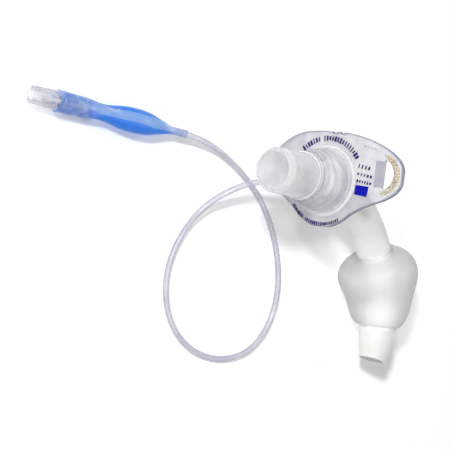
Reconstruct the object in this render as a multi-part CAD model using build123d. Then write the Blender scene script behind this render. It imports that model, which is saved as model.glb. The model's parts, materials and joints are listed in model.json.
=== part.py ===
# A cuffed tracheostomy tube with a removable inner cannula, a swept neck flange,
# a 15 mm breathing connector and an inflation line that ends in a pilot balloon and a valve.
# The tube is drawn about its own axes first: X out of the neck along the connector, Y towards
# the head, Z across the flange, with the middle of the flange's front face at the origin.
# At the end everything is turned to lie on a table, with Z up and the table at zero.
import math
import os
from build123d import *

# Outer cannula
cannula_od = 12.2
cannula_id = 8.5
bend_radius = 48.0
bend_start = 4.0
cannula_length = 86.0
tip_length = 8.0
tip_drops = [0.0, 0.12, 0.45, 0.95, 1.35]

# Inner cannula
inner_od = 8.1
inner_id = 7.5
inner_setback = 1.2

# Hub, listed from the flange to its front as a distance and an outer radius
hub_front = 13.0
hub_steps = [(0.0, 11.3), (1.2, 11.3), (2.0, 10.7), (4.6, 10.2), (4.6, 9.8), (7.6, 9.5),
             (7.6, 9.1), (10.4, 8.9), (10.4, 8.6), (12.6, 8.5)]
hub_lip = 8.1
hub_boss_radius = 7.6
hub_boss_length = 4.0
hub_bore = 5.2
hub_recess = 6.3
hub_recess_depth = 2.6

# Connector
connector_radius = 7.5
connector_end = 30.0
collar_radius = 8.0
collar_width = 1.6
connector_bore = 6.0
bore_length = 12.0
funnel_length = 2.4
spigot_radius = 5.7
spigot_length = 2.2
rim_round = 1.2
rim_notch_width = 1.6
rim_notch_depth = 1.8
pad_length = 3.6
pad_height = 6.8
pad_depth = 0.4
pad_setback = 4.2

# Neck flange. The wing outline is a distance from the middle and a height towards the head.
flange_thickness = 2.2
flange_flat = 11.6
wing_sweep = 19.0
wing_bend = 8.0
wing_end = 26.7
wing_top = [(2.6, 16.8), (11.7, 15.9), (18.5, 13.7), (22.9, 11.2), (25.8, 8.2), (wing_end, 5.6)]
wing_bottom = [(wing_end, 1.2), (25.4, -1.6), (22.4, -4.2), (16.5, -7.2), (11.4, -10.5), (7.0, -13.8),
               (2.6, -15.5)]
flange_edge = 0.5
notch_radius = 0.9
notch_places = [1.2, 4.4]
slot_inner = 20.8
slot_outer = 24.1
slot_top = 9.2
slot_bottom = -1.6
slot_round = 0.7
ramp_width = 3.0
ramp_inset = 1.0
ramp_depth = 1.1

# Cuff, listed along the tube from its upper edge as a distance and a height off the cannula
cuff_start = 47.6
cuff_wall = 0.35
cuff_shape = [(0.0, 0.5), (1.0, 3.4), (3.2, 6.6), (7.4, 8.05), (12.6, 6.9), (18.4, 5.2), (23.2, 3.7),
              (25.6, 2.1), (26.4, 0.5)]
cuff_upper_bond = 1.8
cuff_lower_bond = 0.8

# Inflation line. Its route lies on the table, from the port on the flange to the pilot balloon,
# and only the first and last stretches are above it.
line_od = 2.0
line_insert = 4.0
line_lead = 8.0
line_tail_lead = 5.0
line_arc_share = 0.45
line_fall = [(-14.6, -34.7, 8.2), (-7.5, -41.8, 2.8)]
line_loop = [(3.4, -48.4), (16.8, -52.1), (30.7, -49.2), (40.5, -40.2), (43.9, -27.4), (40.3, -14.6),
             (29.3, -6.8), (14.8, -5.2), (0.3, -9.2), (-11.9, -16.3), (-20.6, -25.7)]
line_climb = [(-27.0, -37.0, 2.0)]
port_across = 15.5
port_height = -2.0
port_radius = 2.1
port_length = 3.0
port_depth = 2.4

# Pilot balloon and valve, measured along their own axis from the mouth of the valve
pilot_mouth = (-34.54, -111.82)
pilot_heading = 86.08
valve_mouth_radius = 2.9
valve_lug_radius = 3.3
valve_barrel_radius = 3.0
valve_lug = 9.4
valve_length = 19.8
luer_radius = 2.1
seat_depth = 9.0
seat_web = 1.5
seat_bore = 1.2
chamber_radius = 2.4
stem_radius = 0.7
stem_start = 3.6
head_radius = 1.9
head_width = 1.0
seal_width = 0.7
guide_length = 4.6
retainer_width = 1.5
retainer_bore = 0.9
spring_radius = 1.35
spring_wire = 0.32
spring_turns = 5.0
sleeve_start_radius = 3.7
sleeve_end_radius = 3.4
balloon_wall = 0.3
balloon_shape = [(22.6, 3.1), (25.4, 2.8), (29.0, 3.1), (33.6, 3.9), (38.6, 4.2), (43.6, 3.8), (48.6, 2.5),
                 (52.2, 1.5)]
balloon_widest = balloon_shape[4]
balloon_tail = 58.8
balloon_tail_radius = 1.35

# How the tube lies on the table
rest_elevation = 19.63

# Small play that keeps round fits from rubbing
fit_play = 0.05

# How far a cutting body runs past what it cuts
overrun = 1.0


def station(distance):
    # A plane across the bent tube, at a distance along its middle line
    turn = distance / bend_radius
    middle = (bend_start - bend_radius * math.sin(turn), bend_radius * (math.cos(turn) - 1), 0)
    return Plane(origin=middle, x_dir=(0, 0, 1), z_dir=(-math.cos(turn), -math.sin(turn), 0))


bend_axis = Axis((bend_start, -bend_radius, 0), (0, 0, 1))


def bent_rod(radius, start, end):
    # A solid round rod along the bend
    turn = math.degrees((end - start) / bend_radius)
    return revolve(station(start) * Circle(radius), axis=bend_axis, revolution_arc=turn)


def bent_loft(sizes):
    # A round body along the bend whose radius changes from place to place
    return loft([station(distance) * Circle(radius) for distance, radius in sizes])


def spun(outline, axis=Axis.X):
    # A body turned about X from points given as a distance along X and a radius
    return revolve(make_face(Polyline(*outline, close=True)), axis=axis)


def rod(radius, start, end):
    # A straight round rod along X
    return Plane(origin=(start, 0, 0), z_dir=(1, 0, 0)) * Cylinder(
        radius, end - start, align=(Align.CENTER, Align.CENTER, Align.MIN))


# Outer cannula: a bent tube with a rounded tip
cannula_radius = cannula_od / 2
tip_start = cannula_length - tip_length
tip_step = tip_length / (len(tip_drops) - 1)
tip_sizes = [(tip_start + tip_step * place, cannula_radius - drop)
             for place, drop in enumerate(tip_drops)]
cannula_body = bent_rod(cannula_radius, 0, tip_start) + bent_loft(tip_sizes)
outer_cannula = cannula_body - bent_rod(cannula_id / 2, -overrun, cannula_length + overrun)

# Hub: a stepped collar that holds the cannula and passes through the flange
hub_outline = [(-hub_boss_length, 0), (-hub_boss_length, hub_boss_radius), (0, hub_boss_radius)]
hub_outline += hub_steps + [(hub_front, hub_lip), (hub_front, 0)]
hub = spun(hub_outline)
hub -= rod(hub_bore, -hub_boss_length, hub_front)
hub -= rod(hub_recess, hub_front - hub_recess_depth, hub_front)
hub -= bent_rod(cannula_radius + fit_play, 0, hub_boss_length * 2 + bend_start)

# Inner cannula: a thin bent tube with a short straight top
inner_radius = inner_od / 2
inner_top = hub_front + funnel_length / 2
inner_end = cannula_length - inner_setback
inner_bend = bent_rod(inner_radius, 0, inner_end) - bent_rod(inner_id / 2, 0, inner_end)
inner_straight = rod(inner_radius, bend_start, inner_top) - rod(inner_id / 2, bend_start, inner_top)
inner_cannula = inner_bend + inner_straight

# Connector: a 15 mm male end with a funnel down to the inner cannula
bore_start = connector_end - bore_length
funnel_start = bore_start - funnel_length
connector_outline = [
    (hub_front - spigot_length, 0), (hub_front - spigot_length, spigot_radius),
    (hub_front, spigot_radius), (hub_front, collar_radius),
    (hub_front + collar_width, collar_radius), (hub_front + collar_width, connector_radius),
    (connector_end, connector_radius), (connector_end, 0)]
funnel_outline = [(funnel_start, 0), (funnel_start, inner_id / 2), (bore_start, connector_bore),
                  (connector_end, connector_bore), (connector_end, 0)]
connector = spun(connector_outline)
connector = fillet(connector.edges().filter_by(GeomType.CIRCLE).sort_by(Axis.X)[-1], rim_round)
connector -= spun(funnel_outline)
connector -= rod(inner_radius, hub_front - spigot_length, inner_top)
connector -= rod(inner_id / 2, inner_top, funnel_start)
notch_span = connector_radius * 4
connector -= Pos(connector_end, 0, 0) * Box(rim_notch_depth * 2, notch_span, rim_notch_width)
pad_face = Plane(origin=(connector_end - pad_setback, 0, 0))
pad_recess = extrude(pad_face * Ellipse(pad_length / 2, pad_height / 2), connector_radius + overrun)
pad_recess -= rod(connector_radius - pad_depth, bore_start, connector_end)
connector -= pad_recess
connector -= mirror(pad_recess, about=Plane.XY)

# Neck flange: a flat middle with two wings swept back, cut to its outline and rounded at the rim
swept = math.radians(wing_sweep)
wing_reach = wing_end * 2
wing_plane = Plane(origin=(0, 0, -flange_flat), x_dir=(-math.sin(swept), 0, -math.cos(swept)),
                   z_dir=(math.cos(swept), 0, -math.sin(swept)))
back_flat = flange_flat - flange_thickness * math.tan(swept / 2)


def flipped(point):
    # The same point on the other wing
    return Vector(point.X, point.Y, -point.Z)


front_tip = wing_plane.from_local_coords((wing_reach, 0, 0))
back_tip = wing_plane.from_local_coords((wing_reach, 0, -flange_thickness))
front_line = FilletPolyline(flipped(front_tip), (0, 0, flange_flat), (0, 0, -flange_flat), front_tip,
                            radius=wing_bend)
back_line = FilletPolyline(back_tip, (-flange_thickness, 0, -back_flat), (-flange_thickness, 0, back_flat),
                           flipped(back_tip), radius=wing_bend - flange_thickness)
section = [front_line, Line(front_tip, back_tip), back_line, Line(flipped(back_tip), flipped(front_tip))]
plate = extrude(make_face(section), wing_reach, dir=(0, 1, 0), both=True)
top_edge = [Vector(0, height, -across) for across, height in wing_top]
bottom_edge = [Vector(0, height, -across) for across, height in wing_bottom]
wing_edge = [Spline(*top_edge), Line(top_edge[-1], bottom_edge[0]), Spline(*bottom_edge)]
wing_edge += [mirror(edge, about=Plane.XY) for edge in wing_edge]
middle_edge = [Line(flipped(edge), edge) for edge in (top_edge[0], bottom_edge[-1])]
outline = make_face(wing_edge + middle_edge)
neck_flange = plate & extrude(outline, wing_reach, dir=(1, 0, 0), both=True)
bend_seams = neck_flange.edges().filter_by(Axis.Y).filter_by(
    lambda edge: abs(edge.center().Z) < wing_end - flange_thickness)
corner_seams = neck_flange.edges().filter_by(Axis.X)
neck_flange = fillet([edge for edge in neck_flange.edges() if edge not in bend_seams + corner_seams],
                     flange_edge)


def on_wing(across, height):
    # A point of the front face of the wing, on the wing's own plane
    return ((across - flange_flat) / math.cos(swept), height)


# Each wing has a slot for the neck strap, with a ramp that leads into it
slot_high = on_wing(slot_inner, slot_top)
slot_low = on_wing(slot_inner, slot_bottom)
slot_middle = (slot_top + slot_bottom) / 2
slot_face = make_face([Line(slot_high, slot_low),
                       ThreePointArc(slot_low, on_wing(slot_outer, slot_middle), slot_high)])
slot_face = fillet(slot_face.vertices(), slot_round)
slot = extrude(wing_plane * slot_face, flange_thickness + overrun, both=True)
ramp_foot = slot_high[0]
ramp_outline = Polyline((ramp_foot - ramp_width, 0), (ramp_foot, -ramp_depth),
                        (ramp_foot + overrun, -ramp_depth), (ramp_foot + overrun, overrun),
                        (ramp_foot - ramp_width, overrun), close=True)
ramp_plane = Plane(origin=wing_plane.from_local_coords((0, slot_middle, 0)), x_dir=wing_plane.x_dir,
                   z_dir=(0, -1, 0))
ramp_height = slot_top - slot_bottom - ramp_inset * 2
ramp = extrude(ramp_plane * make_face(ramp_outline), ramp_height / 2, both=True)
for cut in (slot, ramp):
    neck_flange -= cut
    neck_flange -= mirror(cut, about=Plane.XY)
neck_flange -= rod(hub_boss_radius + fit_play, -hub_boss_length, hub_boss_length)
for notch_place in notch_places:
    notch = Pos(0, wing_top[0][1], -notch_place) * Rot(0, 90, 0)
    neck_flange -= notch * Cylinder(notch_radius, wing_reach)

# Port of the inflation line: a boss on the wing that lies on the table
port_plane = Plane(origin=(0, 0, flange_flat), x_dir=(-math.sin(swept), 0, math.cos(swept)),
                   z_dir=(math.cos(swept), 0, math.sin(swept)))
port_place = ((port_across - flange_flat) / math.cos(swept), -port_height)
port_start = -flange_thickness / 2
boss = Cylinder(port_radius, port_length - port_start, align=(Align.CENTER, Align.CENTER, Align.MIN))
neck_flange += port_plane * Pos(*port_place, port_start) * boss
hole = Cylinder(line_od / 2, port_depth, align=(Align.CENTER, Align.CENTER, Align.MAX))
neck_flange -= port_plane * Pos(*port_place, port_length) * hole

# Cuff: a thin tapered balloon bonded round the cannula at both ends
cuff_outer = [(cuff_start + place, cannula_radius + height) for place, height in cuff_shape]
cuff_inner = [(place, radius - cuff_wall) for place, radius in cuff_outer]
cuff_top, bond_radius = cuff_outer[0]
cuff_bottom = cuff_outer[-1][0]
cuff = bent_loft(cuff_outer) - bent_loft(cuff_inner)
cuff += bent_rod(bond_radius, cuff_top - cuff_upper_bond, cuff_top)
cuff += bent_rod(bond_radius, cuff_bottom, cuff_bottom + cuff_lower_bond)
cuff -= bent_rod(cannula_radius + fit_play, cuff_top - cuff_upper_bond - overrun,
                 cuff_bottom + cuff_lower_bond + overrun)

# Pilot balloon and valve, along their own X
seat_end = seat_depth + seat_web
chamber_end = valve_length - retainer_width
valve_housing = spun([(0, luer_radius), (0, valve_mouth_radius), (valve_lug, valve_lug_radius),
                      (valve_lug, valve_barrel_radius), (valve_length, valve_barrel_radius),
                      (valve_length, chamber_radius), (seat_end, chamber_radius),
                      (seat_end, seat_bore), (seat_depth, seat_bore), (seat_depth, luer_radius)])
head_start = seat_end + seal_width
head_end = head_start + head_width
valve_seal = rod(head_radius, seat_end, head_start) - rod(stem_radius, seat_end, head_start)
valve_plunger = rod(stem_radius, stem_start, head_end + guide_length)
valve_plunger += rod(head_radius, head_start, head_end)
valve_retainer = rod(chamber_radius, chamber_end, valve_length)
valve_retainer -= rod(retainer_bore, chamber_end, valve_length)
spring_start = head_end + spring_wire / 2
spring_rise = chamber_end - head_end - spring_wire
spring_path = Plane(origin=(spring_start, 0, 0), z_dir=(1, 0, 0)) * Helix(
    spring_rise / spring_turns, spring_rise, spring_radius)
spring_section = Plane(origin=spring_path @ 0, z_dir=spring_path % 0) * Circle(spring_wire / 2)
valve_spring = sweep(spring_section, path=spring_path)

# The balloon's sleeve grips the valve's barrel, and its tail grips the line
line_bore = line_od / 2 + fit_play
barrel_bore = valve_barrel_radius + fit_play
balloon_inside = [(place, radius - balloon_wall) for place, radius in balloon_shape]
tail_start = balloon_shape[-1][0]
balloon_profile = [
    Polyline((valve_lug, barrel_bore), (valve_lug, sleeve_start_radius),
             (valve_length, sleeve_end_radius), balloon_shape[0]),
    Spline(*balloon_shape),
    Polyline(balloon_shape[-1], (tail_start, balloon_tail_radius), (balloon_tail, balloon_tail_radius),
             (balloon_tail, line_bore), (tail_start, line_bore), balloon_inside[-1]),
    Spline(*reversed(balloon_inside)),
    Polyline(balloon_inside[0], (valve_length, barrel_bore), (valve_lug, barrel_bore)),
]
pilot_balloon = revolve(make_face(balloon_profile), axis=Axis.X)

pieces = {
    "outer_cannula": outer_cannula,
    "hub": hub,
    "neck_flange": neck_flange,
    "cuff": cuff,
    "inner_cannula": inner_cannula,
    "connector": connector,
}
pilot_pieces = {
    "pilot_balloon": pilot_balloon,
    "valve_housing": valve_housing,
    "valve_plunger": valve_plunger,
    "valve_seal": valve_seal,
    "valve_retainer": valve_retainer,
    "valve_spring": valve_spring,
}

# Lay the tube on the table: on the end of one wing and on the cuff
tilt = math.radians(rest_elevation)
lying = Plane(origin=(0, 0, 0), x_dir=(0, -math.cos(tilt), math.sin(tilt)),
              z_dir=(0, -math.sin(tilt), -math.cos(tilt)))
turned = {name: shape.moved(lying.location) for name, shape in pieces.items()}
boxes = [shape.bounding_box() for shape in turned.values()]
low = [min(tuple(box.min)[axis] for box in boxes) for axis in range(3)]
high = [max(tuple(box.max)[axis] for box in boxes) for axis in range(3)]
to_table = Location((-(low[0] + high[0]) / 2, -(low[1] + high[1]) / 2, -low[2]))
placed = {name: shape.moved(to_table) for name, shape in turned.items()}

# Lay the pilot balloon and its valve on the table, touching it at the balloon and at the sleeve's end
widest_place, widest_radius = balloon_widest
pitch = math.atan2(widest_radius - sleeve_start_radius, widest_place - valve_lug)
heading = math.radians(pilot_heading)
pilot_axis = Vector(math.cos(heading) * math.cos(pitch), math.sin(heading) * math.cos(pitch),
                    math.sin(pitch))
mouth_height = sleeve_start_radius * math.cos(pitch) - valve_lug * math.sin(pitch) + fit_play
pilot_plane = Plane(origin=(*pilot_mouth, mouth_height), x_dir=pilot_axis,
                    z_dir=Vector(-math.cos(heading) * math.sin(pitch),
                                 -math.sin(heading) * math.sin(pitch), math.cos(pitch)))
for name, shape in pilot_pieces.items():
    placed[name] = shape.moved(pilot_plane.location)

# The inflation line: straight runs joined by arcs as large as the runs allow
port_frame = to_table * lying.location * port_plane.location * Pos(*port_place, port_length)
port_out = Plane(port_frame).z_dir
port_mouth = Plane(port_frame).origin
tail_mouth = pilot_plane.from_local_coords((balloon_tail, 0, 0))
line_height = line_od / 2
route = [port_mouth - port_out * port_depth, port_mouth + port_out * line_lead]
route += [Vector(*point) for point in line_fall]
route += [Vector(*point, line_height) for point in line_loop]
route += [Vector(*point) for point in line_climb]
route += [tail_mouth + pilot_axis * line_tail_lead, tail_mouth - pilot_axis * line_insert]
runs = [end - start for start, end in zip(route, route[1:])]
radii = []
for before, after in zip(runs, runs[1:]):
    half_turn = math.radians(before.get_angle(after)) / 2
    radii.append(line_arc_share * min(before.length, after.length) / math.tan(half_turn))
line_path = FilletPolyline(*route, radius=radii)
line_section = Plane(origin=line_path @ 0, z_dir=line_path % 0) * Circle(line_od / 2)
placed["inflation_line"] = sweep(line_section, path=line_path)
print("line radii", [round(radius, 1) for radius in radii])
print("line runs", [round(run.length, 1) for run in runs])
print("line length", line_path.length, "volume", placed["inflation_line"].volume,
      "section times length", line_path.length * math.pi * line_height ** 2)

os.makedirs("parts", exist_ok=True)
for name, shape in placed.items():
    print(name, round(shape.volume, 2), shape.is_valid, round(shape.bounding_box().min.Z, 3))
    export_step(shape, f"parts/{name}.step")
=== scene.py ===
import json
import math
import bpy
from mathutils import Matrix, Vector


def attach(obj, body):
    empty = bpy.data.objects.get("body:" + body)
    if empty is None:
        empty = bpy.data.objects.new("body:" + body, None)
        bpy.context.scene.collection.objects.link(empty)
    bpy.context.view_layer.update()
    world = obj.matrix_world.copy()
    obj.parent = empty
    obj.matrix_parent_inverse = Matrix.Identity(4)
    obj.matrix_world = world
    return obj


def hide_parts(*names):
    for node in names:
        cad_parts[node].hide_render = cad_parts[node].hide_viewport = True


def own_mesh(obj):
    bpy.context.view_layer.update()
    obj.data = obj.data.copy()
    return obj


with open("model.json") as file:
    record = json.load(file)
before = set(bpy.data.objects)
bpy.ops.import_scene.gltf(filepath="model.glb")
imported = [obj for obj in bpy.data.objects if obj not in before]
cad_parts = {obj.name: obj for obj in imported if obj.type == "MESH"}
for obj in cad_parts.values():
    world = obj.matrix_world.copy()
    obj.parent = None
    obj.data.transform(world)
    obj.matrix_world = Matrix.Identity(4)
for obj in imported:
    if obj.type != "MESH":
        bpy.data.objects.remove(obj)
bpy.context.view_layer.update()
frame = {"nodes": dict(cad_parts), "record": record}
nodes = frame["nodes"]
mounts = {mount["name"]: mount for mount in frame["record"]["mounts"]}
scene = bpy.context.scene
scene.view_settings.view_transform = "Standard"
scene.cycles.transparent_max_bounces = 40  # clear walls lie many deep behind each other
mm = 0.001
up = Vector((0, 0, 1))
print("frame loaded")

# The tube's own directions, from the connector's mount: out of the neck, to the head, to the upper wing
connectorReach = 21.7 * mm  # from the flange's front face to the middle of the connector's straight part
outward = Vector(mounts["airway_connector"]["axis"]).normalized()
headward = Vector((-1, 0, 0))
wingward = headward.cross(outward)
faceFrame = Matrix((wingward, headward, outward)).transposed().to_4x4()
faceFrame.translation = Vector(mounts["airway_connector"]["pos_m"]) - outward * connectorReach

# The pilot valve's axis, from its mouth towards the balloon
pilotMouth = Vector(mounts["inflation_port"]["pos_m"])
pilotAxis = -Vector(mounts["inflation_port"]["axis"]).normalized()


def linear(hexColour):
    values = [int(hexColour[k:k + 2], 16) / 255 for k in (1, 3, 5)]
    return (*[v / 12.92 if v <= 0.04045 else ((v + 0.055) / 1.055) ** 2.4 for v in values], 1)


def addNode(tree, kind, inputs=None, **settings):
    node = tree.nodes.new(kind)
    for name, value in settings.items():
        setattr(node, name, value)
    for name, value in (inputs or {}).items():
        if isinstance(value, bpy.types.NodeSocket):
            tree.links.new(value, node.inputs[name])
        else:
            node.inputs[name].default_value = value
    return node


def newMaterial(name):
    material = bpy.data.materials.new(name)
    material.use_nodes = True
    material.node_tree.nodes.clear()
    return material, material.node_tree


def paint(piece, material):
    piece.data.materials.clear()
    piece.data.materials.append(material)


# Clear plastic bends light round what it covers, so its shadow is thinner than its look
def thinShadow(tree, opacity, share):
    rays = addNode(tree, "ShaderNodeLightPath")
    dim = addNode(tree, "ShaderNodeMapRange", {
        "Value": rays.outputs["Is Shadow Ray"], "To Min": 1, "To Max": share})
    return addNode(tree, "ShaderNodeMath", {0: opacity, 1: dim.outputs["Result"]},
                   operation="MULTIPLY").outputs["Value"]


# What the moulded, drawn and printed finishes have in common
skin = {"cloudDetail": 3, "cloudRange": (0.35, 0.65), "rippleDetail": 2, "rippleRange": (0.3, 0.7),
        "roughSpread": 0.25, "rippleDepth": 0.1, "patchiness": 0.25, "faceOn": 0.1,
        "ior": 1.5, "depth": 2 * mm}


# A finish has a cloudy colour from the melt and a fine ripple on its skin. A clear grade has an opacity
# that rises where the wall is seen edge on, painted shade darkens faces that lean away from the flange's
# front, and a lip is painted white past a reach and a radius along the connector, as milkier moulding and as
# a highlight.
def surfaceFinish(name, look):
    material, tree = newMaterial(name)
    coords = addNode(tree, "ShaderNodeTexCoord")
    cloud = addNode(tree, "ShaderNodeTexNoise", {
        "Vector": coords.outputs["Object"], "Scale": 1 / look["cloud"], "Detail": skin["cloudDetail"]})
    ripple = addNode(tree, "ShaderNodeTexNoise", {
        "Vector": coords.outputs["Object"], "Scale": 1 / look["ripple"], "Detail": skin["rippleDetail"]})
    mottle = addNode(tree, "ShaderNodeMapRange", {
        "Value": cloud.outputs["Fac"], "From Min": skin["cloudRange"][0], "From Max": skin["cloudRange"][1]})
    colour = addNode(tree, "ShaderNodeMix", {
        0: mottle.outputs["Result"], 6: linear(look["colour"]), 7: linear(look["shade"])},
        data_type="RGBA").outputs[2]
    milky = []
    # Painted shade: faces that lean away from the flange's front are mixed towards a darker wall tone
    if "paintedWallShade" in look:
        lean = addNode(tree, "ShaderNodeVectorMath", {0: coords.outputs["Normal"], 1: outward},
                       operation="DOT_PRODUCT")
        flatness = addNode(tree, "ShaderNodeMath", {0: lean.outputs["Value"]}, operation="ABSOLUTE")
        paintedWallShade = addNode(tree, "ShaderNodeMapRange", {
            "Value": flatness.outputs["Value"], "From Min": look["lean"][0], "From Max": look["lean"][1],
            "To Min": 1, "To Max": 0}).outputs["Result"]
        colour = addNode(tree, "ShaderNodeMix", {0: paintedWallShade, 6: colour, 7: linear(look["paintedWallShade"])},
                         data_type="RGBA").outputs[2]
        if "wallMilk" in look:
            milky.append((paintedWallShade, look["wallMilk"]))
    # Painted highlight: past a reach and a radius the lip is mixed towards white, partly milkier moulding,
    # partly the bright rim
    if "lip" in look:
        away = addNode(tree, "ShaderNodeVectorMath", {0: coords.outputs["Object"], 1: faceFrame.translation},
                       operation="SUBTRACT").outputs["Vector"]
        reach = addNode(tree, "ShaderNodeVectorMath", {0: away, 1: outward}, operation="DOT_PRODUCT")
        sideways = addNode(tree, "ShaderNodeVectorMath", {0: away, 1: outward}, operation="CROSS_PRODUCT")
        radius = addNode(tree, "ShaderNodeVectorMath", {0: sideways.outputs["Vector"]}, operation="LENGTH")
        past = addNode(tree, "ShaderNodeMapRange", {
            "Value": reach.outputs["Value"], "From Min": look["lip"][0], "From Max": look["lip"][1]})
        outside = addNode(tree, "ShaderNodeMapRange", {
            "Value": radius.outputs["Value"], "From Min": look["lipRadius"][0],
            "From Max": look["lipRadius"][1]})
        lip = addNode(tree, "ShaderNodeMath", {0: past.outputs["Result"], 1: outside.outputs["Result"]},
                      operation="MULTIPLY").outputs["Value"]
        colour = addNode(tree, "ShaderNodeMix", {0: lip, 6: colour, 7: linear(look["lipMilkAndHighlight"])},
                         data_type="RGBA").outputs[2]
        milky.append((lip, look["lipMilk"]))
    rough = addNode(tree, "ShaderNodeMapRange", {
        "Value": ripple.outputs["Fac"], "From Min": skin["rippleRange"][0],
        "From Max": skin["rippleRange"][1], "To Min": look["rough"] * (1 - skin["roughSpread"]),
        "To Max": look["rough"] * (1 + skin["roughSpread"])})
    relief = addNode(tree, "ShaderNodeBump", {
        "Height": ripple.outputs["Fac"], "Strength": look["bump"],
        "Distance": look["ripple"] * skin["rippleDepth"]})
    shader = addNode(tree, "ShaderNodeBsdfPrincipled", {
        "Base Color": colour, "Roughness": rough.outputs["Result"], "Normal": relief.outputs["Normal"],
        "IOR": look.get("ior", skin["ior"]), "Metallic": look.get("metal", 0),
        "Transmission Weight": look.get("through", 0), "Subsurface Weight": look.get("glow", 0),
        "Subsurface Scale": look.get("depth", skin["depth"]), "Subsurface Radius": (1, 1, 1)})
    if "clear" in look:
        edgeOn = addNode(tree, "ShaderNodeLayerWeight", {"Normal": relief.outputs["Normal"]})
        patchy = addNode(tree, "ShaderNodeMath", {
            0: cloud.outputs["Fac"], 1: skin["patchiness"], 2: edgeOn.outputs["Facing"]},
            operation="MULTIPLY_ADD")
        opacity = addNode(tree, "ShaderNodeMapRange", {
            "Value": patchy.outputs["Value"], "From Min": skin["faceOn"],
            "To Min": look["clear"][0], "To Max": look["clear"][1]}).outputs["Result"]
        for share, amount in milky:
            opacity = addNode(tree, "ShaderNodeMath", {0: share, 1: amount, 2: opacity},
                              operation="MULTIPLY_ADD", use_clamp=True).outputs["Value"]
        tree.links.new(thinShadow(tree, opacity, look["shadow"]), shader.inputs["Alpha"])
    addNode(tree, "ShaderNodeOutputMaterial", {"Surface": shader.outputs["BSDF"]})
    return material


# In a look, cloud and ripple are the sizes of the colour's patches and of the skin's waves, clear is the
# opacity face on and edge on, shadow the share of it that shades, and glow, depth and through let light in
whiteVinyl = surfaceFinish("whiteSoftVinyl", {  # satin and milky, a little light goes in
    "colour": "#FFFFFB", "shade": "#F8F8F3", "cloud": 9 * mm, "ripple": 1.2 * mm, "rough": 0.36,
    "bump": 0.06, "glow": 0.25})
clearVinyl = surfaceFinish("clearSoftVinyl", {  # glossy, with painted lavender-grey shade in its rims and slopes
    "colour": "#DCDCE1", "shade": "#C0C0CC", "cloud": 4 * mm, "ripple": 3 * mm, "rough": 0.12,
    "bump": 0.25, "paintedWallShade": "#8E8EA6", "lean": (0.86, 0.945), "wallMilk": 0.26, "clear": (0.32, 0.95),
    "shadow": 0.2, "glow": 0.5, "depth": 4 * mm, "ior": 1.4})
clearHub = surfaceFinish("clearHardPlastic", {  # glassy moulding whose steps show as rings, with painted shade on its step walls
    "colour": "#FBFCFD", "shade": "#F0F1F5", "cloud": 5 * mm, "ripple": 4 * mm, "rough": 0.06,
    "bump": 0.1, "paintedWallShade": "#E6E8EC", "lean": (0.15, 0.6), "clear": (0.12, 0.78), "shadow": 0.2,
    "glow": 0.4, "depth": 6 * mm, "through": 0.4, "ior": 1.4})
cuffFilm = surfaceFinish("frostedFilm", {  # thin blown film, dull skin, grey where seen edge on
    "colour": "#E8E8E7", "shade": "#DEDEDF", "cloud": 16 * mm, "ripple": 3 * mm, "rough": 0.45,
    "bump": 0.06, "clear": (0.8, 1.0), "shadow": 0.25, "through": 0.65, "ior": 1.25})
innerPlastic = surfaceFinish("milkyTubing", {  # drawn tubing, smooth and faintly blue
    "colour": "#EFF1F2", "shade": "#E4E8EA", "cloud": 8 * mm, "ripple": 1.5 * mm, "rough": 0.3,
    "bump": 0.05, "glow": 0.2})
connectorPlastic = surfaceFinish("milkyHardPlastic", {  # translucent white moulding with faint painted shade on its walls, milkier at its lip and painted white there as a highlight
    "colour": "#FBFCFC", "shade": "#F4F6F6", "cloud": 7 * mm, "ripple": 2.5 * mm, "rough": 0.07,
    "bump": 0.06, "paintedWallShade": "#F1F4F4", "lean": (0.25, 0.7), "clear": (0.36, 0.85), "shadow": 0.65,
    "glow": 0.5, "depth": 6 * mm, "through": 0.35, "ior": 1.4, "lip": (26.8 * mm, 27.9 * mm),
    "lipRadius": (6.05 * mm, 6.3 * mm), "lipMilkAndHighlight": "#FFFFFF", "lipMilk": 0.36})
lineVinyl = surfaceFinish("clearLineVinyl", {  # drawn clear tubing, lavender along its edges
    "colour": "#D8D7E6", "shade": "#C8C7DC", "cloud": 7 * mm, "ripple": 1.4 * mm, "rough": 0.18,
    "bump": 0.08, "clear": (0.26, 0.95), "shadow": 0.9})
valvePlastic = surfaceFinish("clearValvePlastic", {  # glassy moulding, seen mostly by its edges
    "colour": "#EAEAF2", "shade": "#C6C6D4", "cloud": 3 * mm, "ripple": 2 * mm, "rough": 0.08,
    "bump": 0.08, "clear": (0.0, 0.9), "shadow": 0.3, "ior": 1.57})
valveMoulding = surfaceFinish("whiteValvePlastic", {  # plain satin moulding
    "colour": "#F2F3F6", "shade": "#E2E4EA", "cloud": 3 * mm, "ripple": 1 * mm, "rough": 0.32,
    "bump": 0.05})
sealRubber = surfaceFinish("darkSealRubber", {  # dull moulded elastomer
    "colour": "#34343C", "shade": "#26262C", "cloud": 2 * mm, "ripple": 0.5 * mm, "rough": 0.6,
    "bump": 0.2})
springSteel = surfaceFinish("drawnSpringWire", {  # bright drawn wire
    "colour": "#C3C5CA", "shade": "#A6A9AF", "cloud": 2 * mm, "ripple": 0.4 * mm, "rough": 0.28,
    "bump": 0.1, "metal": 1})
navyInk = surfaceFinish("navyPadPrint", {  # flat ink from a printing pad
    "colour": "#120C58", "shade": "#1B1464", "cloud": 1.2 * mm, "ripple": 0.4 * mm, "rough": 0.6,
    "bump": 0.1, "ior": 1.2})
blueInk = surfaceFinish("bluePadPrint", {  # the same ink in a brighter blue
    "colour": "#060CA6", "shade": "#0A12B0", "cloud": 2 * mm, "ripple": 0.4 * mm, "rough": 0.6,
    "bump": 0.1, "ior": 1.2})
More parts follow.
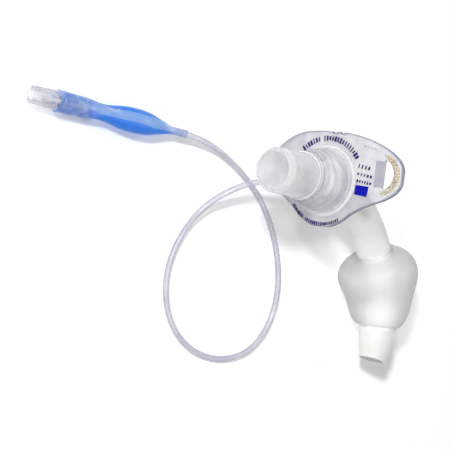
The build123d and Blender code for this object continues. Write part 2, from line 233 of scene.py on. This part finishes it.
highlightBeadPlastic = surfaceFinish("paintedHighlightBead", {  # white bead standing for the highlight on a rounded edge: a painted highlight
    "colour": "#FFFFFF", "shade": "#F4F4F7", "cloud": 4 * mm, "ripple": 3 * mm, "rough": 0.1,
    "bump": 0.05, "clear": (0.7, 0.95), "shadow": 0.3, "glow": 0.3})
stepHighlightPlastic = surfaceFinish("clearStepPlastic", {  # painted highlight: patchy white rings at the foot of each step
    "colour": "#FFFFFF", "shade": "#D4D5DC", "cloud": 2.5 * mm, "ripple": 2 * mm, "rough": 0.1,
    "bump": 0.05, "clear": (0.12, 0.75), "shadow": 0.3, "glow": 0.3})
markAndEdgeShadePlastic = surfaceFinish("greyMarkAndEdgeShade", {  # painted shade: grey lines for the dark look of clear step edges, also the grey of the moulded marks
    "colour": "#B4B5C0", "shade": "#9C9DAA", "cloud": 4 * mm, "ripple": 2 * mm, "rough": 0.2,
    "bump": 0.05, "clear": (0.45, 0.9), "shadow": 0.3})
amberVinyl = surfaceFinish("amberRibVinyl", {  # clear amber beads; the mottle paints glints as highlights and the gaps as shade
    "colour": "#FFF3C4", "shade": "#946A1C", "cloud": 0.5 * mm, "ripple": 0.6 * mm, "rough": 0.15,
    "bump": 0.1, "clear": (0.45, 0.95), "shadow": 0.5})


# Blue blown film, creased along its length, with painted light along its middle,
# painted shade at its sides and painted highlights on some creases.
# The sleeve over the valve is stretched thin and nearly clear, and so is the tail over the line.
def balloonFilm(name, look):
    material, tree = newMaterial(name)
    coords = addNode(tree, "ShaderNodeTexCoord")
    sideways = up.cross(pilotAxis).normalized()
    turn = Matrix((pilotAxis, sideways, pilotAxis.cross(sideways))).to_euler()
    along = addNode(tree, "ShaderNodeVectorMath", {0: coords.outputs["Object"], 1: pilotMouth},
                    operation="SUBTRACT")
    turned = addNode(tree, "ShaderNodeVectorRotate", {"Vector": along.outputs["Vector"], "Rotation": turn},
                     rotation_type="EULER_XYZ")
    stretched = addNode(tree, "ShaderNodeVectorMath", {0: turned.outputs["Vector"], 1: look["creaseSize"]},
                        operation="DIVIDE")
    crease = addNode(tree, "ShaderNodeTexNoise", {
        "Vector": stretched.outputs["Vector"], "Scale": 1, "Detail": look["detail"],
        "Distortion": look["creaseBend"]})
    place = addNode(tree, "ShaderNodeSeparateXYZ", {"Vector": turned.outputs["Vector"]})
    sleeve = addNode(tree, "ShaderNodeMapRange", {
        "Value": place.outputs["X"], "From Min": look["sleeveEnd"][0], "From Max": look["sleeveEnd"][1]})
    tail = addNode(tree, "ShaderNodeMapRange", {
        "Value": place.outputs["X"], "From Min": look["tailStart"][0], "From Max": look["tailStart"][1]})
    offset = addNode(tree, "ShaderNodeMath", {0: place.outputs["Y"], 1: look["paleBandShift"]},
                     operation="SUBTRACT")
    aside = addNode(tree, "ShaderNodeMath", {0: offset.outputs["Value"]}, operation="ABSOLUTE")
    wander = addNode(tree, "ShaderNodeMath", {
        0: crease.outputs["Fac"], 1: look["wander"], 2: aside.outputs["Value"]}, operation="MULTIPLY_ADD")
    # Painted light and shade: pale in a band near the middle, deep towards the sides
    sideShade = addNode(tree, "ShaderNodeMapRange", {
        "Value": wander.outputs["Value"], "From Min": look["sideShade"][0], "From Max": look["sideShade"][1]},
        interpolation_type="SMOOTHSTEP")
    bulbColour = addNode(tree, "ShaderNodeMix", {
        0: sideShade.outputs["Result"], 6: linear(look["colour"]), 7: linear(look["shade"])}, data_type="RGBA")
    # Painted highlight: pale streaks along the creases inside the pale band
    creaseHighlight = addNode(tree, "ShaderNodeMapRange", {
        "Value": crease.outputs["Fac"], "From Min": look["creaseHighlightRange"][0], "From Max": look["creaseHighlightRange"][1]})
    flat = addNode(tree, "ShaderNodeMath", {0: 1, 1: sideShade.outputs["Result"]}, operation="SUBTRACT")
    paintedStreak = addNode(tree, "ShaderNodeMath", {0: creaseHighlight.outputs["Result"], 1: flat.outputs["Value"]},
                     operation="MULTIPLY")
    bulbColour = addNode(tree, "ShaderNodeMix", {
        0: paintedStreak.outputs["Value"], 6: bulbColour.outputs[2], 7: linear(look["creaseHighlightColour"])},
        data_type="RGBA")
    film = addNode(tree, "ShaderNodeTexNoise", {
        "Vector": coords.outputs["Object"], "Scale": 1 / look["fleck"], "Detail": look["detail"]})
    flecked = addNode(tree, "ShaderNodeMapRange", {
        "Value": film.outputs["Fac"], "From Min": look["fleckRange"][0], "From Max": look["fleckRange"][1]})
    sleeveColour = addNode(tree, "ShaderNodeMix", {
        0: flecked.outputs["Result"], 6: linear(look["sleeve"]), 7: linear(look["sleeveFleck"])},
        data_type="RGBA")
    tint = addNode(tree, "ShaderNodeMix", {
        0: sleeve.outputs["Result"], 6: sleeveColour.outputs[2], 7: bulbColour.outputs[2]}, data_type="RGBA")
    tint = addNode(tree, "ShaderNodeMix", {
        0: tail.outputs["Result"], 6: tint.outputs[2], 7: linear(look["tail"])}, data_type="RGBA")
    relief = addNode(tree, "ShaderNodeBump", {
        "Height": crease.outputs["Fac"], "Strength": look["bump"], "Distance": look["creaseDepth"]})
    edgeOn = addNode(tree, "ShaderNodeLayerWeight", {"Normal": relief.outputs["Normal"]})
    thin = addNode(tree, "ShaderNodeMapRange", {
        "Value": edgeOn.outputs["Facing"], "To Min": look["thin"][0], "To Max": look["thin"][1]})
    full = addNode(tree, "ShaderNodeMapRange", {
        "Value": edgeOn.outputs["Facing"], "To Min": look["full"][0], "To Max": look["full"][1]})
    bulb = addNode(tree, "ShaderNodeMath", {0: sleeve.outputs["Result"], 1: tail.outputs["Result"]},
                   operation="SUBTRACT")
    opacity = addNode(tree, "ShaderNodeMix", {
        0: bulb.outputs["Value"], 2: thin.outputs["Result"], 3: full.outputs["Result"]})
    shader = addNode(tree, "ShaderNodeBsdfPrincipled", {
        "Base Color": tint.outputs[2], "Roughness": look["rough"], "Normal": relief.outputs["Normal"],
        "IOR": look["ior"], "Subsurface Weight": look["glow"], "Subsurface Scale": look["depth"],
        "Subsurface Radius": (1, 1, 1), "Coat Weight": look["coat"], "Coat Roughness": look["coatRough"],
        "Alpha": thinShadow(tree, opacity.outputs[0], look["shadow"])})
    addNode(tree, "ShaderNodeOutputMaterial", {"Surface": shader.outputs["BSDF"]})
    return material


# Places along the film are measured from the valve's mouth; thin and full are opacities face on and edge on
# Painted light and shade: colour is the pale band, shade the deep sides, the crease colour a painted
# highlight
blueFilm = balloonFilm("blueBlownFilm", {
    "colour": "#90C2FF", "shade": "#0086FF", "sideShade": (2.3 * mm, 3.0 * mm), "paleBandShift": 0.7 * mm,
    "wander": 2.4 * mm, "creaseHighlightRange": (0.5, 0.62), "creaseHighlightColour": "#DCEBFF",
    "sleeve": "#8FBDFF", "sleeveFleck": "#3C7DF6", "fleck": 2.2 * mm, "fleckRange": (0.35, 0.65),
    "sleeveEnd": (20 * mm, 25 * mm), "tail": "#A9BCF2", "tailStart": (51 * mm, 55 * mm),
    "creaseSize": (16.667 * mm, 2.381 * mm, 2.381 * mm), "creaseBend": 0.6, "creaseDepth": 0.4 * mm,
    "detail": 2, "bump": 0.5, "thin": (0.2, 0.9), "full": (0.46, 0.95), "shadow": 0.5, "rough": 0.1,
    "ior": 1.5, "glow": 0.4, "depth": 4 * mm, "coat": 0.1, "coatRough": 0.06})
print("materials made")

nodeFinish = {
    "outer_cannula": whiteVinyl, "hub": clearHub, "neck_flange": clearVinyl, "cuff": cuffFilm,
    "inner_cannula": innerPlastic, "connector": connectorPlastic, "pilot_balloon": blueFilm,
    "valve_housing": valvePlastic, "valve_plunger": valveMoulding, "valve_retainer": valveMoulding,
    "valve_seal": sealRubber}
for name, material in nodeFinish.items():
    paint(nodes[name], material)
print("nodes painted")


# Starts a group whose named inputs are the sizes of one piece
def newGroup(name, sizes):
    group = bpy.data.node_groups.new(name, "GeometryNodeTree")
    kinds = {float: "NodeSocketFloat", int: "NodeSocketInt", tuple: "NodeSocketVector",
             bpy.types.Material: "NodeSocketMaterial"}
    for label, value in sizes.items():
        group.interface.new_socket(label, in_out="INPUT", socket_type=kinds[type(value)])
    group.interface.new_socket("Geometry", in_out="OUTPUT", socket_type="NodeSocketGeometry")
    return group, addNode(group, "NodeGroupInput").outputs


def closeGroup(group, instances, material):
    solid = addNode(group, "GeometryNodeRealizeInstances", {"Geometry": instances})
    coated = addNode(group, "GeometryNodeSetMaterial", {
        "Geometry": solid.outputs["Geometry"], "Material": material})
    addNode(group, "NodeGroupOutput", {"Geometry": coated.outputs["Geometry"]})


# Runs a group with its sizes and keeps the result as a plain mesh
def runGroup(name, group, sizes):
    maker = bpy.data.objects.new(name + "Maker", bpy.data.meshes.new(name + "Maker"))
    scene.collection.objects.link(maker)
    modifier = maker.modifiers.new("shape", "NODES")
    modifier.node_group = group
    for item in group.interface.items_tree:
        if item.in_out == "INPUT":
            modifier[item.identifier] = sizes[item.name]
    shape = bpy.data.meshes.new_from_object(maker.evaluated_get(bpy.context.evaluated_depsgraph_get()))
    maker.modifiers.remove(modifier)
    bpy.data.objects.remove(maker)
    shape.name = name
    return shape


# Valve spring: a coil between the plunger's head and the retainer, which in the valve shortens as the plunger
# is pressed; here it keeps one length
def springCoil(sizes):
    group, given = newGroup("springCoil", sizes)
    path = addNode(group, "GeometryNodeCurveSpiral", {
        "Resolution": given["Steps per turn"], "Rotations": given["Turns"], "Start Radius": given["Radius"],
        "End Radius": given["Radius"], "Height": given["Rise"]})
    wire = addNode(group, "GeometryNodeCurvePrimitiveCircle", {
        "Resolution": given["Wire sides"], "Radius": given["Wire radius"]}, mode="RADIUS")
    coil = addNode(group, "GeometryNodeCurveToMesh", {
        "Curve": path.outputs["Curve"], "Profile Curve": wire.outputs["Curve"], "Fill Caps": True})
    smooth = addNode(group, "GeometryNodeSetShadeSmooth", {"Geometry": coil.outputs["Mesh"]})
    closeGroup(group, smooth.outputs["Geometry"], given["Finish"])
    return group


spring = {"Turns": 5.0, "Radius": 1.35 * mm, "Wire radius": 0.16 * mm, "Rise": 5.78 * mm,
          "Steps per turn": 40, "Wire sides": 12, "Finish": springSteel}
springRoom = {"from": 12.2 * mm, "to": 18.3 * mm, "travel": 1.5 * mm}  # along the pilot's axis from its mouth
springMesh = runGroup("valveSpring", springCoil(spring), spring)
springMesh.transform(Matrix.Translation(pilotMouth + pilotAxis * (springRoom["from"] + spring["Wire radius"]))
                     @ pilotAxis.to_track_quat("Z", "Y").to_matrix().to_4x4())
valveSpring = bpy.data.objects.new("valveSpring", springMesh)
scene.collection.objects.link(valveSpring)
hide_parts("valve_spring")
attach(valveSpring, "tube")
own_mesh(valveSpring)
print("valve spring wound")

# Inflation line, along the same points as its solid, in millimetres
line = {"diameter": 2.0 * mm, "length": 214.8 * mm, "exit": (-19.378, -17.567, 12.454),
        "on it": ["pilot_balloon", "valve_housing", "valve_plunger", "valve_seal", "valve_retainer"],
        "order": 3, "steps": 16, "roundness": 5,
        "route": [(-19.378, -15.167, 12.427), (-19.378, -25.566, 12.541), (-14.6, -34.7, 8.2),
                  (-7.5, -41.8, 2.8), (3.4, -48.4, 1), (16.8, -52.1, 1), (30.7, -49.2, 1), (40.5, -40.2, 1),
                  (43.9, -27.4, 1), (40.3, -14.6, 1), (29.3, -6.8, 1), (14.8, -5.2, 1), (0.3, -9.2, 1),
                  (-11.9, -16.3, 1), (-20.6, -25.7, 1), (-27.0, -37.0, 2), (-30.179, -48.178, 4.681),
                  (-30.794, -57.156, 4.527)]}
lineCurve = bpy.data.curves.new("inflationLine", "CURVE")
lineCurve.dimensions = "3D"
spline = lineCurve.splines.new("NURBS")
spline.points.add(len(line["route"]) - 1)
for point, place in zip(spline.points, line["route"]):
    point.co = (*(Vector(place) * mm), 1)
spline.order_u = line["order"]
spline.use_endpoint_u = True
spline.resolution_u = line["steps"]
lineCurve.bevel_depth = line["diameter"] / 2
lineCurve.bevel_resolution = line["roundness"]
lineCurve.use_fill_caps = True
inflationLine = bpy.data.objects.new("inflationLine", lineCurve)
scene.collection.objects.link(inflationLine)
paint(inflationLine, lineVinyl)
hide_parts("inflation_line")
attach(inflationLine, "tube")
print("inflation line laid")

# Front face of the flange: flat round the hub, then a gentle bend into each swept wing
flange = {"flat": 11.6 * mm, "sweep": math.radians(19), "bend": 8 * mm}


def faceHeight(across):
    run = flange["bend"] * math.tan(flange["sweep"] / 2)
    past = abs(across) - flange["flat"] + run
    if past <= 0:
        return 0.0
    if past < flange["bend"] * math.sin(flange["sweep"]):
        return math.sqrt(flange["bend"] ** 2 - past ** 2) - flange["bend"]
    return (flange["flat"] - abs(across)) * math.tan(flange["sweep"])


# Lays what a group makes on the flange's front face and gives it its body
def layOnFace(name, group, sizes, body="tube"):
    shape = runGroup(name, group, sizes)
    for vertex in shape.vertices:
        vertex.co.z += faceHeight(vertex.co.x)
    shape.transform(faceFrame)
    piece = bpy.data.objects.new(name, shape)
    scene.collection.objects.link(piece)
    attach(piece, body)


# Print: short bars of uneven width along a path, a few of them skipped
def barRow(group, given, path):
    spread = addNode(group, "GeometryNodeResampleCurve", {"Curve": path, "Count": given["Bars"]},
                     mode="COUNT")
    kept = addNode(group, "FunctionNodeRandomValue", {"Probability": given["Kept"], "Seed": given["Seed"]},
                   data_type="BOOLEAN")
    bar = addNode(group, "GeometryNodeMeshCube", {"Size": given["Bar size"]})
    tangent = addNode(group, "GeometryNodeInputTangent")
    facing = addNode(group, "FunctionNodeAlignRotationToVector", {"Vector": tangent.outputs["Tangent"]},
                     axis="X")
    uneven = addNode(group, "FunctionNodeRandomValue", {
        0: given["Least scale"], 1: given["Most scale"], "Seed": given["Seed"]}, data_type="FLOAT_VECTOR")
    bars = addNode(group, "GeometryNodeInstanceOnPoints", {
        "Points": spread.outputs["Curve"], "Instance": bar.outputs["Mesh"], "Selection": kept.outputs[3],
        "Rotation": facing.outputs["Rotation"], "Scale": uneven.outputs[0]})
    closeGroup(group, bars.outputs["Instances"], given["Ink"])


def printArc(sizes):
    group, given = newGroup("printArc", sizes)
    path = addNode(group, "GeometryNodeCurveArc", {
        "Resolution": given["Path steps"], "Radius": given["Radius"], "Start Angle": given["Start"],
        "Sweep Angle": given["Sweep"]}, mode="RADIUS")
    barRow(group, given, path.outputs["Curve"])
    return group


def printRow(sizes):
    group, given = newGroup("printRow", sizes)
    path = addNode(group, "GeometryNodeCurvePrimitiveLine", {"Start": given["From"], "End": given["To"]},
                   mode="POINTS")
    barRow(group, given, path.outputs["Curve"])
    return group


unevenBars = {"Least scale": (0.7, 0.6, 1.0), "Most scale": (1.5, 1.0, 1.0)}
arcs = {
    "upperPrint": {"Radius": 14.4 * mm, "Start": math.radians(134), "Sweep": math.radians(-97), "Bars": 23,
                   "Bar size": (0.6 * mm, 2.1 * mm, 0.1 * mm), "Kept": 0.9, "Seed": 4, "Path steps": 96,
                   "Ink": navyInk, **unevenBars},
    "lowerPrint": {"Radius": 14.6 * mm, "Start": math.radians(219), "Sweep": math.radians(80), "Bars": 25,
                   "Bar size": (0.5 * mm, 1.4 * mm, 0.1 * mm), "Kept": 0.9, "Seed": 9, "Path steps": 96,
                   "Ink": navyInk, **unevenBars}}
for name, sizes in arcs.items():
    layOnFace(name, printArc(sizes), sizes)
rows = {"from": 12.7 * mm, "drop": 0.55 * mm, "heights": [5.9 * mm, 3.2 * mm, 0.9 * mm],
        "lengths": [3.3 * mm, 4.2 * mm, 4.2 * mm], "bars": [4, 5, 6], "seeds": [20, 21, 22],
        "bar size": (0.4 * mm, 1.45 * mm, 0.1 * mm), "kept": 0.95}
for number, height in enumerate(rows["heights"]):
    end = rows["from"] + rows["lengths"][number]
    sizes = {"From": (rows["from"], height, 0), "To": (end, height - rows["drop"], 0),
             "Bars": rows["bars"][number], "Bar size": rows["bar size"], "Kept": rows["kept"],
             "Seed": rows["seeds"][number], "Ink": navyInk, **unevenBars}
    layOnFace("sidePrint%d" % number, printRow(sizes), sizes)
mark = {"From": (13.9 * mm, 12.5 * mm, 0), "To": (17.2 * mm, 11.9 * mm, 0), "Bars": 4,
        "Bar size": (0.5 * mm, 1.0 * mm, 0.12 * mm), "Kept": 1.0, "Seed": 31, "Ink": markAndEdgeShadePlastic,
        **unevenBars}
layOnFace("mouldedMark", printRow(mark), mark)
print("print laid")


# Rounded bead at the hub's foot, fine edges and gleams at its steps, and a ring where the connector meets it;
# the bead, gleams and ring are painted highlights and the edges painted shade
def hubRing(sizes):
    group, given = newGroup("hubRing", sizes)
    path = addNode(group, "GeometryNodeCurvePrimitiveCircle", {
        "Resolution": given["Ring sides"], "Radius": given["Radius"]}, mode="RADIUS")
    profile = addNode(group, "GeometryNodeCurvePrimitiveCircle", {
        "Resolution": given["Bead sides"], "Radius": given["Bead"]}, mode="RADIUS")
    bead = addNode(group, "GeometryNodeCurveToMesh", {
        "Curve": path.outputs["Curve"], "Profile Curve": profile.outputs["Curve"]})
    smooth = addNode(group, "GeometryNodeSetShadeSmooth", {"Geometry": bead.outputs["Mesh"]})
    lifted = addNode(group, "GeometryNodeTransform", {
        "Geometry": smooth.outputs["Geometry"], "Translation": given["Lift"]})
    closeGroup(group, lifted.outputs["Geometry"], given["Finish"])
    return group


ringSides = {"Ring sides": 160, "Bead sides": 14}
stepEdge = {"Bead": 0.14 * mm, "Finish": markAndEdgeShadePlastic, **ringSides}
stepGleam = {"Bead": 0.24 * mm, "Finish": stepHighlightPlastic, **ringSides}
# Painted highlights and shade: the white foot bead and gleam rings, and the grey step edges
hubRings = {
    "footRing": {"Radius": 11.5 * mm, "Lift": (0, 0, 0.1 * mm), "Bead": 0.6 * mm, "Finish": highlightBeadPlastic,
                 **ringSides},
    "firstStepRing": {"Radius": 10.15 * mm, "Lift": (0, 0, 4.6 * mm), **stepEdge},
    "secondStepRing": {"Radius": 9.45 * mm, "Lift": (0, 0, 7.6 * mm), **stepEdge},
    "thirdStepRing": {"Radius": 8.85 * mm, "Lift": (0, 0, 10.4 * mm), **stepEdge},
    "lipRing": {"Radius": 8.4 * mm, "Lift": (0, 0, 12.6 * mm), **stepEdge},
    "firstGleamRing": {"Radius": 9.85 * mm, "Lift": (0, 0, 4.8 * mm), **stepGleam},
    "secondGleamRing": {"Radius": 9.15 * mm, "Lift": (0, 0, 7.8 * mm), **stepGleam},
    "thirdGleamRing": {"Radius": 8.65 * mm, "Lift": (0, 0, 10.6 * mm), **stepGleam}}
for name, sizes in hubRings.items():
    layOnFace(name, hubRing(sizes), sizes)
# Painted highlight: a white bead where the connector meets the hub
collar = {"Radius": 7.9 * mm, "Lift": (0, 0, 14.5 * mm), "Bead": 0.22 * mm, "Finish": highlightBeadPlastic,
          **ringSides}
layOnFace("collarRing", hubRing(collar), collar, "inner")
print("hub rings laid")


# Ribs moulded along the outer edge of each strap slot
def slotRibs(sizes):
    group, given = newGroup("slotRibs", sizes)
    path = addNode(group, "GeometryNodeCurveArc", {
        "Resolution": given["Path steps"], "Start": given["From"], "Middle": given["By"], "End": given["To"]},
        mode="POINTS")
    spread = addNode(group, "GeometryNodeResampleCurve", {
        "Curve": path.outputs["Curve"], "Count": given["Ribs"]}, mode="COUNT")
    bead = addNode(group, "GeometryNodeMeshIcoSphere", {
        "Radius": given["Rib radius"], "Subdivisions": given["Subdivisions"]})
    uneven = addNode(group, "FunctionNodeRandomValue", {
        0: given["Least scale"], 1: given["Most scale"], "Seed": given["Seed"]}, data_type="FLOAT_VECTOR")
    beads = addNode(group, "GeometryNodeInstanceOnPoints", {
        "Points": spread.outputs["Curve"], "Instance": bead.outputs["Mesh"], "Scale": uneven.outputs[0]})
    closeGroup(group, beads.outputs["Instances"], given["Finish"])
    return group


ribs = {"From": (21.0 * mm, 10.0 * mm, 0), "By": (24.7 * mm, 3.8 * mm, 0), "To": (21.0 * mm, -2.3 * mm, 0),
        "Ribs": 17, "Rib radius": 0.55 * mm, "Subdivisions": 2, "Least scale": (0.7, 0.7, 0.5),
        "Most scale": (1.15, 1.15, 0.8), "Path steps": 64, "Seed": 3, "Finish": amberVinyl}
ribRows = {"Inner": 0.0, "Outer": 0.85 * mm}
wingSides = {"upper": 1, "lower": -1}
for wing, side in wingSides.items():
    for row, out in ribRows.items():
        sizes = dict(ribs)
        for end in ("From", "By", "To"):
            sizes[end] = ((ribs[end][0] + out) * side, *ribs[end][1:])
        layOnFace(wing + row + "SlotRibs", slotRibs(sizes), sizes)
print("slot ribs laid")

# Blue square: a thin field of ink, cut fine enough to follow the wing, with its corners in millimetres
square = {"corners": [(12.3, -0.5), (16.6, -0.7), (16.2, -4.1), (12.1, -3.7)], "steps": 8,
          "thickness": 0.06 * mm, "lift": 0.01 * mm}
corners = [Vector((x, y, 0)) * mm for x, y in square["corners"]]
grid = []
for i in range(square["steps"] + 1):
    for j in range(square["steps"] + 1):
        nearSide = corners[0].lerp(corners[1], i / square["steps"])
        farSide = corners[3].lerp(corners[2], i / square["steps"])
        place = nearSide.lerp(farSide, j / square["steps"])
        place.z = faceHeight(place.x) + square["lift"]
        grid.append(faceFrame @ place)
width = square["steps"] + 1
cells = [(i * width + j, i * width + j + 1, (i + 1) * width + j + 1, (i + 1) * width + j)
         for i in range(square["steps"]) for j in range(square["steps"])]
squareMesh = bpy.data.meshes.new("blueSquare")
squareMesh.from_pydata(grid, [], cells)
squareMesh.flip_normals()
blueSquare = bpy.data.objects.new("blueSquare", squareMesh)
scene.collection.objects.link(blueSquare)
paint(blueSquare, blueInk)
thicken = blueSquare.modifiers.new("thickness", "SOLIDIFY")
thicken.thickness = square["thickness"]
thicken.offset = 1
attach(blueSquare, "tube")
print("blue square laid")

# Camera at the photograph's viewing angle
view = {"aim": Vector((-2.267, -36.603, 9.904)) * mm, "azimuth": math.radians(3.18),
        "elevation": math.radians(56.95), "roll": math.radians(94.77), "distance": 650 * mm, "lens": 154.84}
backward = Vector((math.cos(view["elevation"]) * math.sin(view["azimuth"]),
                   -math.cos(view["elevation"]) * math.cos(view["azimuth"]), math.sin(view["elevation"])))
level = up.cross(backward).normalized()
cameraData = bpy.data.cameras.new("camera")
cameraData.lens = view["lens"]
camera = bpy.data.objects.new("camera", cameraData)
camera.matrix_world = (Matrix.Translation(view["aim"] + backward * view["distance"])
                       @ Matrix((level, backward.cross(level), backward)).transposed().to_4x4()
                       @ Matrix.Rotation(view["roll"], 4, "Z"))
scene.collection.objects.link(camera)
scene.camera = camera


# White where the lens, a gloss or a clear wall sees it, plain to the light
def whiteWhenSeen(tree, plain, seen):
    rays = addNode(tree, "ShaderNodeLightPath")
    glossy = addNode(tree, "ShaderNodeMath", {
        0: rays.outputs["Is Camera Ray"], 1: rays.outputs["Is Glossy Ray"]}, operation="MAXIMUM")
    through = addNode(tree, "ShaderNodeMath", {
        0: glossy.outputs["Value"], 1: rays.outputs["Is Transmission Ray"]}, operation="MAXIMUM")
    mixed = addNode(tree, "ShaderNodeMixShader", {0: through.outputs["Value"], 1: plain, 2: seen})
    return mixed.outputs["Shader"]


# The floor's seen tone makes up for the light, which is kept low so that the white pieces don't clip
studio = {"floor side": 3.0, "floor": "#F2F2F2", "floor seen": (1.21, 1.21, 1.21, 1),
          "world": linear("#FFFFFF"), "ambient": 0.27, "backdrop": 1.0, "lamp distance": 3.0}
side = studio["floor side"]
floorMesh = bpy.data.meshes.new("floor")
floorMesh.from_pydata([(-side, -side, 0), (side, -side, 0), (side, side, 0), (-side, side, 0)], [],
                      [(0, 1, 2, 3)])
floor = bpy.data.objects.new("floor", floorMesh)
scene.collection.objects.link(floor)
floorMaterial, floorTree = newMaterial("paleFloor")
floorPlain = addNode(floorTree, "ShaderNodeBsdfDiffuse", {"Color": linear(studio["floor"])})
floorSeen = addNode(floorTree, "ShaderNodeBsdfDiffuse", {"Color": studio["floor seen"]})
addNode(floorTree, "ShaderNodeOutputMaterial", {
    "Surface": whiteWhenSeen(floorTree, floorPlain.outputs["BSDF"], floorSeen.outputs["BSDF"])})
paint(floor, floorMaterial)

world = bpy.data.worlds.new("studio")
scene.world = world
world.use_nodes = True
worldTree = world.node_tree
worldTree.nodes.clear()
ambient = addNode(worldTree, "ShaderNodeBackground", {
    "Strength": studio["ambient"], "Color": studio["world"]})
backdrop = addNode(worldTree, "ShaderNodeBackground", {
    "Strength": studio["backdrop"], "Color": studio["world"]})
addNode(worldTree, "ShaderNodeOutputWorld", {
    "Surface": whiteWhenSeen(worldTree, ambient.outputs["Background"], backdrop.outputs["Background"])})

# The fill casts no shadow, so that only the key's and a faint one from the back lie on the floor
lamps = {"key": {"way": (-0.30, -0.62, 0.72), "size": 0.3, "power": 51.0, "shadow": True},
         "fill": {"way": (0.62, -0.35, 0.70), "size": 1.3, "power": 13.0, "shadow": False},
         "back": {"way": (-0.25, 0.62, 0.74), "size": 0.6, "power": 8.0, "shadow": True}}
for name, lamp in lamps.items():
    lampData = bpy.data.lights.new(name, "AREA")
    lampData.size = lamp["size"]
    lampData.energy = lamp["power"]
    lampData.use_shadow = lamp["shadow"]
    way = Vector(lamp["way"]).normalized()
    lampObject = bpy.data.objects.new(name, lampData)
    lampObject.location = way * studio["lamp distance"]
    lampObject.rotation_euler = way.to_track_quat("Z", "Y").to_euler()
    scene.collection.objects.link(lampObject)
print("camera, floor and light set")
